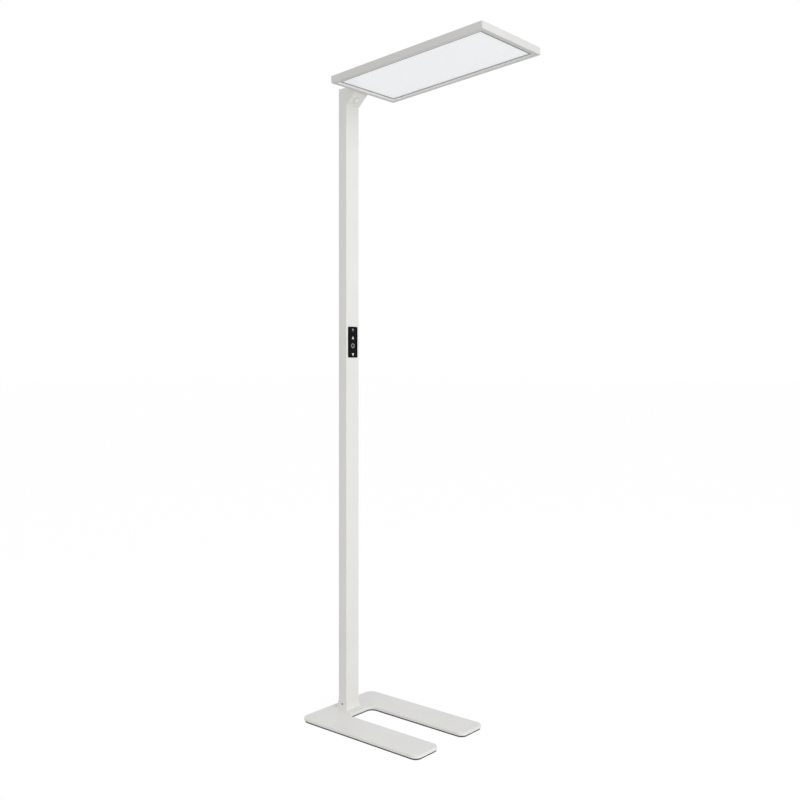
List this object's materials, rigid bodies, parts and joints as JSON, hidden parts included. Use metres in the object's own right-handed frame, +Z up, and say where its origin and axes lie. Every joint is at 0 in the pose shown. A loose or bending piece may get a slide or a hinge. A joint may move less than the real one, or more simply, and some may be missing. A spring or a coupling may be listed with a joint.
{
  "type": "office floor lamp",
  "caption": "Free-standing office floor lamp: U-shaped flat foot, slim rectangular column with a key panel, and a flat rectangular light head on a sloped bracket.",
  "frame": {"origin": "on the floor, under the column's axis", "axes": "+Z up along the column; +X from the column towards the open ends of the foot's prongs and under the light head; +Y across the foot"},
  "size_m": [0.6532, 0.311, 1.9491],
  "materials": {
    "black_plastic": "matte",
    "cast_seat": "satin",
    "circuit_board": "satin",
    "clear_sheet": "gloss",
    "diode_board": "satin",
    "driver_case": "matte",
    "floor_rubber": "matte",
    "grey_foam": "matte",
    "key_black": "satin",
    "opal_sheet": "satin",
    "painted_extrusion": "satin",
    "painted_steel": "satin",
    "panel_gloss": "gloss",
    "plain_steel": "satin",
    "sensor_trim": "satin",
    "sensor_white": "satin",
    "terminal_grey": "satin",
    "white_film": "matte",
    "wire_sheath": "matte"
  },
  "bodies": {
    "lamp": {"arm_bolts": "plain_steel", "arm_pad": "plain_steel", "arm_screws": "plain_steel", "arm_seat": "cast_seat", "back_cover": "painted_extrusion", "base_mat": "floor_rubber", "base_plate": "painted_steel", "base_screws": "plain_steel", "board_screws": "plain_steel", "bracket_cap": "painted_extrusion", "bracket_housing": "painted_extrusion", "bracket_screws": "plain_steel", "cable_gland": "black_plastic", "carrier_screws": "plain_steel", "collar_set_screws": "plain_steel", "column_tube": "painted_extrusion", "control_bezel": "panel_gloss", "corner_keys": "cast_seat", "cover_screws": "plain_steel", "diffuser": "opal_sheet", "driver_carrier": "plain_steel", "foam_sheet": "grey_foam", "foot_collar": "painted_extrusion", "foot_spigot": "cast_seat", "frame_rail_far": "painted_extrusion", "frame_rail_left": "painted_extrusion", "frame_rail_near": "painted_extrusion", "frame_rail_right": "painted_extrusion", "gland_nut": "black_plastic", "head_arm": "plain_steel", "head_wire": "wire_sheath", "led_driver": "driver_case", "led_strip_left": "diode_board", "led_strip_right": "diode_board", "light_guide": "clear_sheet", "reflector_sheet": "white_film", "sensor_board": "circuit_board", "sensor_lens": "sensor_white", "sensor_ring": "sensor_trim", "switch_board": "circuit_board", "terminal_block": "terminal_grey", "wire_connector": "terminal_grey"},
    "key_sensor_body": {"key_sensor": "key_black"},
    "key_brighter_body": {"key_brighter": "key_black"},
    "key_power_body": {"key_power": "key_black"},
    "key_dimmer_body": {"key_dimmer": "key_black"}
  },
  "joints": [
    {"name": "key_sensor_press", "type": "slide", "parent": "lamp", "child": "key_sensor_body", "axis": [-1, 0, 0], "range_m": [0, 0.0005], "stiffness_N_per_m": 3000},
    {"name": "key_brighter_press", "type": "slide", "parent": "lamp", "child": "key_brighter_body", "axis": [-1, 0, 0], "range_m": [0, 0.0005], "stiffness_N_per_m": 3000},
    {"name": "key_power_press", "type": "slide", "parent": "lamp", "child": "key_power_body", "axis": [-1, 0, 0], "range_m": [0, 0.0005], "stiffness_N_per_m": 3000},
    {"name": "key_dimmer_press", "type": "slide", "parent": "lamp", "child": "key_dimmer_body", "axis": [-1, 0, 0], "range_m": [0, 0.0005], "stiffness_N_per_m": 3000}
  ]
}
